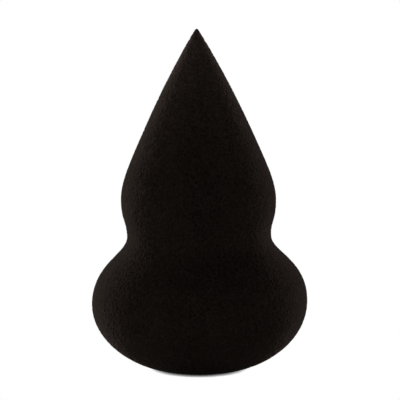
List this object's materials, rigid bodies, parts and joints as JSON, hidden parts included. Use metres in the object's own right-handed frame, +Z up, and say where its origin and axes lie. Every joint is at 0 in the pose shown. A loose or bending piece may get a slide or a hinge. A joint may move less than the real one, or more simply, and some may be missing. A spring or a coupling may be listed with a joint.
{
  "type": "makeup sponge",
  "caption": "Pointed gourd-shaped makeup sponge of fine-pored foam, with a wide round base that squashes, a waist that leans and a long tip that bends.",
  "frame": {"origin": "centre of the flat underside, on the surface that the sponge stands on", "axes": "+Z up the sponge's axis towards the point; +X to the right and +Y away from the viewer in the picture's view"},
  "size_m": [0.04, 0.04, 0.0636],
  "materials": {
    "foam": "dull black open-cell polyurethane foam with fine pores, matt, a little paler where it is seen edge-on"
  },
  "bodies": {
    "base": {"foam_base": "foam"},
    "waist": {"foam_waist": "foam"},
    "shoulder": {"foam_shoulder": "foam", "foam_neck": "foam"},
    "tip": {"foam_tip": "foam"}
  },
  "joints": [
    {"name": "base_squeeze", "type": "slide", "parent": "base", "child": "waist", "axis": [0, 0, -1], "range_m": [0, 0.008], "stiffness_N_per_m": 1200, "deforming": ["foam_base"]},
    {"name": "waist_lean", "type": "hinge", "parent": "waist", "child": "shoulder", "pos_m": [0, 0, 0.025], "axis": [0, 1, 0], "range_deg": [-20, 20], "stiffness_Nm_per_rad": 0.08, "deforming": ["foam_waist"]},
    {"name": "tip_bend", "type": "hinge", "parent": "shoulder", "child": "tip", "pos_m": [0, 0, 0.048], "axis": [0, 1, 0], "range_deg": [-45, 45], "stiffness_Nm_per_rad": 0.015, "deforming": ["foam_neck"]}
  ]
}
